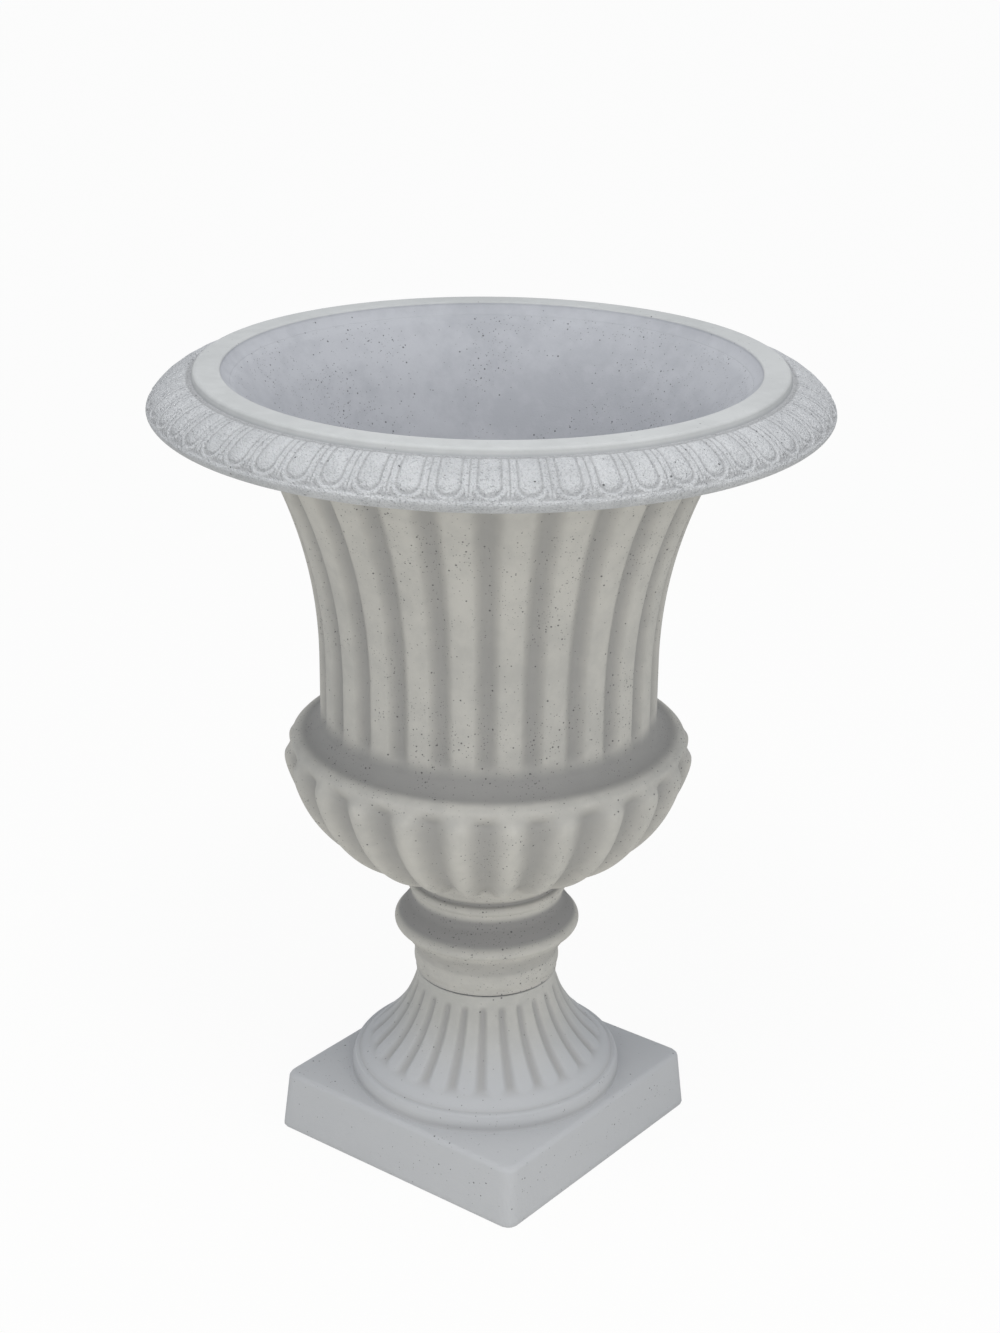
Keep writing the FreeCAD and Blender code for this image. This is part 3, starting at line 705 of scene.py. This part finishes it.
def pits_group():
    """Small air holes of the casting: a mask of dots, painted dark as shade in the holes, in scattered
    patches.
    """
    tree, s, given, result = group(
        "air holes",
        [("Where", "NodeSocketVector", None), ("Scale", "NodeSocketFloat", 200.0),
         ("Size", "NodeSocketFloat", 0.25), ("Plenty", "NodeSocketFloat", 0.5)],
        [("Mask", "NodeSocketFloat")])
    distance, tint = s.cells(given.outputs["Where"], given.outputs["Scale"])
    parts = s.add("ShaderNodeSeparateColor")
    s.link(tint, parts.inputs[0])
    patch = s.noise(given.outputs["Where"], 14.0, 2.0)
    chance = s.math("MULTIPLY", given.outputs["Plenty"], s.spread(patch, 0.38, 0.66, 0.08, 1.0))
    kept = s.math("LESS_THAN", parts.outputs[0], chance)
    width = s.math("MULTIPLY", given.outputs["Size"], s.math("MULTIPLY_ADD", parts.outputs[1], 0.7, 0.3))
    edge = s.math("SUBTRACT", 1.0, s.math("DIVIDE", distance, width), clamp=True)
    mask = s.math("MULTIPLY", kept, s.spread(edge, 0.0, 0.5))
    s.link(mask, result.inputs["Mask"])
    return tree


def mottle_group():
    """Soft clouds of shade in the stone, large and small, around one half."""
    tree, s, given, result = group(
        "stone clouds", [("Where", "NodeSocketVector", None)],
        [("Large", "NodeSocketFloat"), ("Small", "NodeSocketFloat"), ("Grain", "NodeSocketFloat")])
    s.link(s.noise(given.outputs["Where"], 9.0, 3.0, 0.55), result.inputs["Large"])
    s.link(s.noise(given.outputs["Where"], 60.0, 4.0, 0.6), result.inputs["Small"])
    s.link(s.noise(given.outputs["Where"], 700.0, 3.0, 0.7), result.inputs["Grain"])
    return tree


def sand_group():
    """Height of the sand on the rim and, weaker, elsewhere."""
    tree, s, given, result = group(
        "sand", [("Where", "NodeSocketVector", None), ("Coarse", "NodeSocketFloat", 0.5)],
        [("Height", "NodeSocketFloat")])
    grains, _ = s.cells(given.outputs["Where"], 620.0)
    crumbs = s.noise(given.outputs["Where"], 330.0, 3.0, 0.65)
    fine = s.noise(given.outputs["Where"], 1300.0, 2.0, 0.6)
    coarse = s.math("ADD", s.math("MULTIPLY", grains, 0.5), s.math("MULTIPLY", crumbs, 1.1))
    coarse = s.math("MULTIPLY", coarse, given.outputs["Coarse"])
    s.link(s.math("ADD", coarse, s.math("MULTIPLY", fine, 0.25)), result.inputs["Height"])
    return tree


def crumbs_group():
    """Sand in the surface: masks of painted shade in the gaps between the grains and of a few pale
    grains.
    """
    tree, s, given, result = group(
        "crumbs", [("Where", "NodeSocketVector", None)],
        [("Dark", "NodeSocketFloat"), ("Pale", "NodeSocketFloat")])
    where = given.outputs["Where"]
    patch = s.spread(s.noise(where, 22.0, 2.0), 0.30, 0.65, 0.35, 1.0)
    gaps = s.spread(s.noise(where, 520.0, 2.0, 0.7), 0.47, 0.34)
    s.link(s.math("MULTIPLY", gaps, patch), result.inputs["Dark"])
    grains = s.spread(s.noise(where, 640.0, 2.0, 0.7), 0.60, 0.72)
    s.link(s.math("MULTIPLY", grains, patch), result.inputs["Pale"])
    return tree


PITS, MOTTLE, SAND, CRUMBS = pits_group(), mottle_group(), sand_group(), crumbs_group()


def place(shop, tree, **values):
    """The outputs of a shared group placed in a material, fed by socket name."""
    node = shop.add("ShaderNodeGroup")
    node.node_tree = tree
    for key, value in values.items():
        shop.feed(node.inputs[key], value)
    return node.outputs


def new_material(name, rough, metallic=0.0):
    """A material, the shop for its nodes, its shader, and the Object coordinates."""
    material = bpy.data.materials.new(name)
    material.use_nodes = True
    shop = Shop(material.node_tree)
    shader = material.node_tree.nodes["Principled BSDF"]
    shader.inputs["Roughness"].default_value = rough
    shader.inputs["Metallic"].default_value = metallic
    where = shop.add("ShaderNodeTexCoord").outputs["Object"]
    return material, shop, shader, where


# The first colour is painted shade in the gaps between sand grains; the second is the sand's pale grains.
SAND_GAP_SHADE, PALE_GRAIN = colour(0.24, 0.245, 0.26), colour(0.82, 0.82, 0.82)
# Painted shade inside the casting's small air holes.
AIR_HOLE_SHADE = colour(0.085, 0.085, 0.09)
INSIDE_LIGHT, INSIDE_DARK = colour(0.49, 0.50, 0.53), colour(0.43, 0.44, 0.47)
HOLLOW_SHADE_SHARE = 0.80                             # how far painted shade in hollows and shadowed bands darkens the stone
FOOT_LIGHT_LOW, FOOT_LIGHT_HIGH = 0.085, 0.15     # heights between which the painted cooler light low on the foot fades, m


def stone(name, light, dark, hollow_shade_tint, sand=0.25, bump=0.35, pits=0.5, crumbs=0.0, low_foot_light_tint=None):
    """Cast stone: clouds of tone, painted shade in hollows and shadowed bands, air holes with painted
    shade in them, and a sanded surface.
    """
    material, s, shader, where = new_material(name, 0.78)
    clouds = place(s, MOTTLE, Where=where)
    shade = s.math("MULTIPLY_ADD", clouds["Small"], 0.45, s.math("MULTIPLY", clouds["Large"], 0.55))
    base = s.mix(s.spread(shade, 0.36, 0.64), dark, light)
    # Painted cooler light low on the foot, out of the bowl's shadow.
    if low_foot_light_tint:
        height = s.add("ShaderNodeSeparateXYZ")
        s.link(where, height.inputs[0])
        low = s.spread(height.outputs[2], FOOT_LIGHT_LOW, FOOT_LIGHT_HIGH, 1.0, 0.0)
        base = s.mix(s.math("MULTIPLY", low, 0.9), base, low_foot_light_tint)
    # Painted shade in hollows and shadowed bands, from the groove attribute.
    groove = s.add("ShaderNodeAttribute", attribute_name="groove").outputs["Fac"]
    base = s.mix(s.math("MULTIPLY", groove, HOLLOW_SHADE_SHARE), base, hollow_shade_tint)
    lined = s.add("ShaderNodeAttribute", attribute_name="lined").outputs["Fac"]
    base = s.mix(lined, base, s.mix(s.spread(shade, 0.38, 0.62), INSIDE_DARK, INSIDE_LIGHT))
    # Painted shade in the gaps between sand grains, and the sand's pale grains.
    if crumbs:
        sandy = place(s, CRUMBS, Where=where)
        base = s.mix(s.math("MULTIPLY", sandy["Dark"], crumbs), base, SAND_GAP_SHADE)
        base = s.mix(s.math("MULTIPLY", sandy["Pale"], crumbs), base, PALE_GRAIN)
    # Dark dots: painted shade in the casting's small air holes.
    holes = place(s, PITS, Where=where, Scale=215.0, Size=0.26, Plenty=pits)["Mask"]
    specks = place(s, PITS, Where=where, Scale=420.0, Size=0.34, Plenty=pits)["Mask"]
    dots = s.math("MAXIMUM", holes, s.math("MULTIPLY", specks, 0.7))
    base = s.mix(s.math("MULTIPLY", dots, 0.8), base, AIR_HOLE_SHADE)
    s.link(base, shader.inputs["Base Color"])
    rough = s.math("MULTIPLY_ADD", clouds["Small"], 0.16, 0.70)
    s.link(rough, shader.inputs["Roughness"])
    grain = place(s, SAND, Where=where, Coarse=sand)["Height"]
    height = s.math("SUBTRACT", grain, s.math("MULTIPLY", dots, 1.4))
    soft = s.math("MULTIPLY", clouds["Small"], 1.2)
    lump = s.add("ShaderNodeBump")
    lump.inputs["Strength"].default_value = bump
    lump.inputs["Distance"].default_value = 0.0014
    s.link(s.math("ADD", height, soft), lump.inputs["Height"])
    s.link(lump.outputs[0], shader.inputs["Normal"])
    shader.inputs["Specular IOR Level"].default_value = 0.25
    return material


# The rim's cooler, bluer colour than the bowl's is painted cool light from above on the same stone; its
# sand and crumbs are its own surface.
BOWL_STONE = stone("cast_stone_bowl", colour(0.585, 0.57, 0.53), colour(0.505, 0.495, 0.465),
                   colour(0.30, 0.295, 0.29), sand=0.22, bump=0.30, pits=0.80)
RIM_STONE = stone("cast_stone_rim", colour(0.635, 0.645, 0.66), colour(0.545, 0.555, 0.57),
                  colour(0.40, 0.405, 0.415), sand=1.5, bump=0.95, pits=0.12, crumbs=0.55)
LIP_STONE = stone("cast_stone_lip", colour(0.555, 0.565, 0.565), colour(0.50, 0.51, 0.51),
                  colour(0.36, 0.37, 0.38), sand=0.15, bump=0.25, pits=0.05)
PEDESTAL_STONE = stone("cast_stone_pedestal", colour(0.575, 0.565, 0.535), colour(0.505, 0.50, 0.475),
                       colour(0.40, 0.395, 0.39), sand=0.25, bump=0.30, pits=0.16,
                       low_foot_light_tint=colour(0.53, 0.54, 0.56))


def steel():
    """Zinc-plated steel of the bolt, nut, washers and strap."""
    material, s, shader, where = new_material("zinc_plated_steel", 0.38, 1.0)
    clouds = place(s, MOTTLE, Where=where)
    tone = s.mix(s.spread(clouds["Small"], 0.35, 0.7), colour(0.52, 0.53, 0.54), colour(0.70, 0.70, 0.69))
    s.link(tone, shader.inputs["Base Color"])
    s.link(s.math("MULTIPLY_ADD", clouds["Grain"], 0.25, 0.28), shader.inputs["Roughness"])
    lump = s.add("ShaderNodeBump")
    lump.inputs["Strength"].default_value = 0.15
    lump.inputs["Distance"].default_value = 0.0003
    s.link(clouds["Grain"], lump.inputs["Height"])
    s.link(lump.outputs[0], shader.inputs["Normal"])
    return material


def rubber():
    """Black rubber of the gasket and the sealing washer."""
    material, s, shader, where = new_material("black_rubber", 0.8)
    clouds = place(s, MOTTLE, Where=where)
    tone = s.mix(clouds["Small"], colour(0.045, 0.045, 0.046), colour(0.085, 0.084, 0.082))
    s.link(tone, shader.inputs["Base Color"])
    s.link(s.math("MULTIPLY_ADD", clouds["Grain"], 0.2, 0.7), shader.inputs["Roughness"])
    lump = s.add("ShaderNodeBump")
    lump.inputs["Strength"].default_value = 0.2
    lump.inputs["Distance"].default_value = 0.0004
    s.link(clouds["Grain"], lump.inputs["Height"])
    s.link(lump.outputs[0], shader.inputs["Normal"])
    return material


STEEL, RUBBER = steel(), rubber()


# ---- the pieces ---------------------------------------------------------------------------
rows, inner = bowl_body_rows()
ring_piece("bowl_body", RIB_COUNT, 26, rows, 0.0, BOWL_STONE, "bowl_stone", "bowl", inner=inner)
ring_piece("bowl_neck", 72, 4, neck_rows(), 0.0, BOWL_STONE, "bowl_stone", "bowl")
ring_piece("bowl_rim", EGG_COUNT, 30, rim_rows(), EGG_TURN, RIM_STONE, "bowl_stone", "bowl")
rows, inner = lip_rows()
ring_piece("bowl_lip", 90, 4, rows, 0.0, LIP_STONE, "bowl_stone", "bowl", inner=inner)
bowl_floor()
rows, inner = foot_rows()
ring_piece("pedestal_foot", TONGUE_COUNT, 32, rows, TONGUE_TURN, PEDESTAL_STONE, "pedestal_stone",
           "pedestal", inner=inner)
plinth()
FITTINGS = {RUBBER: ("joint_gasket", "sealing_washer"),
            STEEL: ("bowl_washer", "tie_bolt", "cross_bar", "bar_washer", "lock_nut")}
for finish, nodes in FITTINGS.items():
    for node in nodes:
        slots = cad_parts[node].data.materials
        for k in range(len(slots)):
            slots[k] = finish


# ---- stage --------------------------------------------------------------------------------
def stage_floor():
    """A wide pale floor a hair under the base, nearly white to the camera and dimmer in shadow."""
    mesh = bpy.data.meshes.new("floor")
    reach = 30.0
    corners = [(-reach, -reach, 0), (reach, -reach, 0), (reach, reach, 0), (-reach, reach, 0)]
    mesh.from_pydata(corners, [], [(0, 1, 2, 3)])
    floor = bpy.data.objects.new("floor", mesh)
    floor.location.z = -0.3 * MM
    bpy.context.scene.collection.objects.link(floor)
    material = bpy.data.materials.new("pale_floor")
    material.use_nodes = True
    s = Shop(material.node_tree)
    shader = material.node_tree.nodes["Principled BSDF"]
    shader.inputs["Base Color"].default_value = colour(0.90, 0.885, 0.84)
    shader.inputs["Roughness"].default_value = 0.9
    glow = s.add("ShaderNodeEmission")
    glow.inputs["Color"].default_value = colour(1.0, 1.0, 1.0)
    glow.inputs["Strength"].default_value = 1.0
    seen = s.add("ShaderNodeLightPath").outputs["Is Camera Ray"]
    blend = s.add("ShaderNodeMixShader")
    s.link(s.math("MULTIPLY", seen, 0.93), blend.inputs[0])
    s.link(shader.outputs[0], blend.inputs[1])
    s.link(glow.outputs[0], blend.inputs[2])
    s.link(blend.outputs[0], material.node_tree.nodes["Material Output"].inputs["Surface"])
    mesh.materials.append(material)


def stage_world():
    """Soft bluish light from all round, and a white background to the camera and in steel."""
    world = bpy.data.worlds.new("studio")
    world.use_nodes = True
    bpy.context.scene.world = world
    s = Shop(world.node_tree)
    soft = world.node_tree.nodes["Background"]
    soft.inputs["Color"].default_value = colour(0.93, 0.96, 1.0)
    soft.inputs["Strength"].default_value = 0.66
    white = s.add("ShaderNodeBackground")
    white.inputs["Color"].default_value = colour(1.0, 1.0, 1.0)
    white.inputs["Strength"].default_value = 1.0
    rays = s.add("ShaderNodeLightPath").outputs
    blend = s.add("ShaderNodeMixShader")
    s.link(s.math("MAXIMUM", rays["Is Camera Ray"], rays["Is Glossy Ray"]), blend.inputs[0])
    s.link(soft.outputs[0], blend.inputs[1])
    s.link(white.outputs[0], blend.inputs[2])
    s.link(blend.outputs[0], world.node_tree.nodes["World Output"].inputs["Surface"])


def lamp(name, azimuth, height_angle, distance, size, power, tint):
    """A square soft light that faces the middle of the urn."""
    light = bpy.data.lights.new(name, "AREA")
    light.shape = "SQUARE"
    light.size = size
    light.energy = power
    light.color = tint
    holder = bpy.data.objects.new(name, light)
    a, e = math.radians(azimuth), math.radians(height_angle)
    aim = Vector((0.0, 0.0, 0.38))
    way = Vector((math.cos(e) * math.cos(a), math.cos(e) * math.sin(a), math.sin(e)))
    holder.location = aim + distance * way
    holder.rotation_euler = (aim - holder.location).to_track_quat("-Z", "Y").to_euler()
    bpy.context.scene.collection.objects.link(holder)


def stage_camera():
    """The photograph's viewpoint: a long lens a little above the rim, tilted down."""
    turn, yaw = math.radians(38.15), 0.0049
    pitch, roll = math.radians(21.64), 0.0115
    forward = Vector((math.sin(yaw) * math.cos(pitch), math.cos(yaw) * math.cos(pitch), -math.sin(pitch)))
    level = Vector((math.cos(yaw), -math.sin(yaw), 0.0))
    upward = level.cross(forward)
    right = math.cos(roll) * level + math.sin(roll) * upward
    up = -math.sin(roll) * level + math.cos(roll) * upward
    spin = Matrix.Rotation(turn, 3, "Z")
    columns = Matrix((spin @ right, spin @ up, -(spin @ forward))).transposed()
    lens = bpy.data.cameras.new("camera")
    lens.sensor_fit = "VERTICAL"
    lens.sensor_height = 36.0
    lens.lens = 64.9
    camera = bpy.data.objects.new("camera", lens)
    camera.matrix_world = Matrix.Translation((1.2663, -1.6122, 1.2883)) @ columns.to_4x4()
    bpy.context.scene.collection.objects.link(camera)
    bpy.context.scene.camera = camera


stage_floor()
stage_world()
lamp("overhead", -55.0, 66.0, 2.1, 0.5, 14.0, (1.0, 0.99, 0.97))
lamp("front", -50.0, 8.0, 3.0, 1.2, 9.0, (1.0, 0.98, 0.95))
lamp("side", -12.0, 42.0, 3.0, 1.2, 4.0, (1.0, 0.98, 0.95))
stage_camera()
bpy.context.scene.view_settings.view_transform = "Standard"
